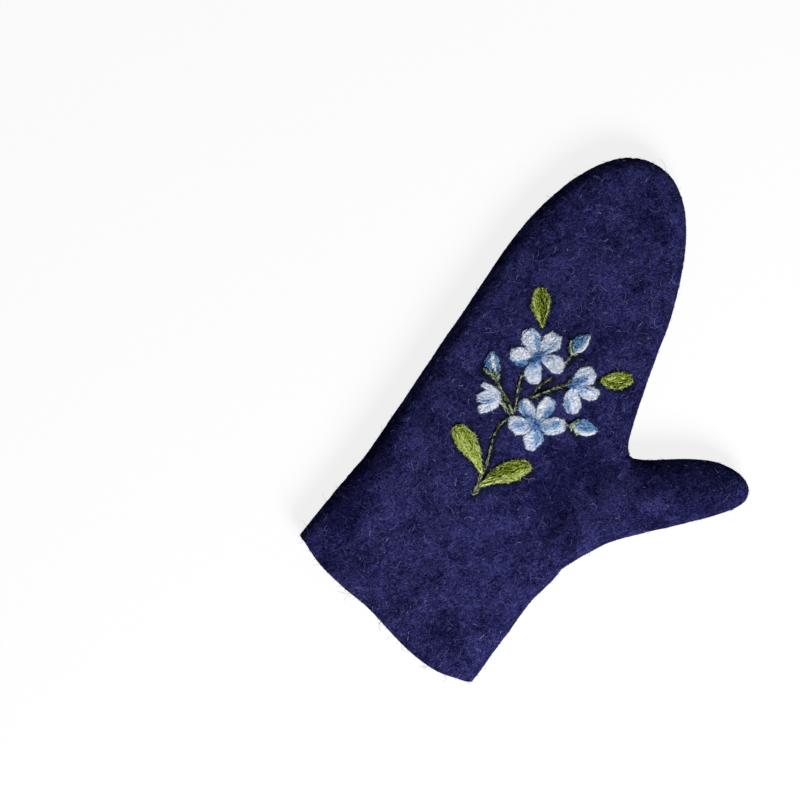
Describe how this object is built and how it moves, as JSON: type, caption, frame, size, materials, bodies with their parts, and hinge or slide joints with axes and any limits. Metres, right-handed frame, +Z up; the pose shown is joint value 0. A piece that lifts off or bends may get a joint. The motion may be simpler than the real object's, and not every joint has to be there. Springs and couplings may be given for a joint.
{
  "type": "felted wool mitten",
  "caption": "Left-hand mitten in navy wet-felted wool, lying palm down, with a needle-felted spray of small blue flowers on its back.",
  "frame": {"origin": "middle of the palm, on the surface that the mitten lies on", "axes": "+Z up out of the back of the hand, +Y along the hand to the fingertips, +X towards the thumb"},
  "size_m": [0.1926, 0.2753, 0.0246],
  "materials": {
    "navy_felt": "wet-felted merino, matt, with a short fuzz of fibres",
    "stem_wool": "needle-felted strands, matt",
    "leaf_wool": "needle-felted wool, matt, flecked",
    "petal_wool": "needle-felted wool, matt, streaked",
    "bud_wool": "needle-felted wool, matt, streaked",
    "eye_wool": "needle-felted wool, matt"
  },
  "bodies": {
    "root": {"mitten_body": "navy_felt", "stem_main": "stem_wool", "stem_left_flower": "stem_wool", "stem_left_bud": "stem_wool", "stem_upper_flower": "stem_wool", "stem_upper_bud_low": "stem_wool", "stem_upper_bud_top": "stem_wool", "stem_right_flower": "stem_wool", "stem_low_bud": "stem_wool", "leaf_top": "leaf_wool", "leaf_right": "leaf_wool", "leaf_left": "leaf_wool", "leaf_low": "leaf_wool", "bud_left": "bud_wool", "bud_upper": "bud_wool", "bud_low": "bud_wool", "calyx_left": "stem_wool", "calyx_upper": "stem_wool", "calyx_low": "stem_wool", "petal_upper_1": "petal_wool", "petal_upper_2": "petal_wool", "petal_upper_3": "petal_wool", "petal_upper_4": "petal_wool", "petal_upper_5": "petal_wool", "petal_lower_1": "petal_wool", "petal_lower_2": "petal_wool", "petal_lower_3": "petal_wool", "petal_lower_4": "petal_wool", "petal_lower_5": "petal_wool", "petal_right_1": "petal_wool", "petal_right_2": "petal_wool", "petal_right_3": "petal_wool", "petal_left_1": "petal_wool", "petal_left_2": "petal_wool", "petal_left_3": "petal_wool", "eye_upper": "eye_wool", "eye_lower": "eye_wool", "eye_right": "eye_wool"}
  },
  "joints": []
}
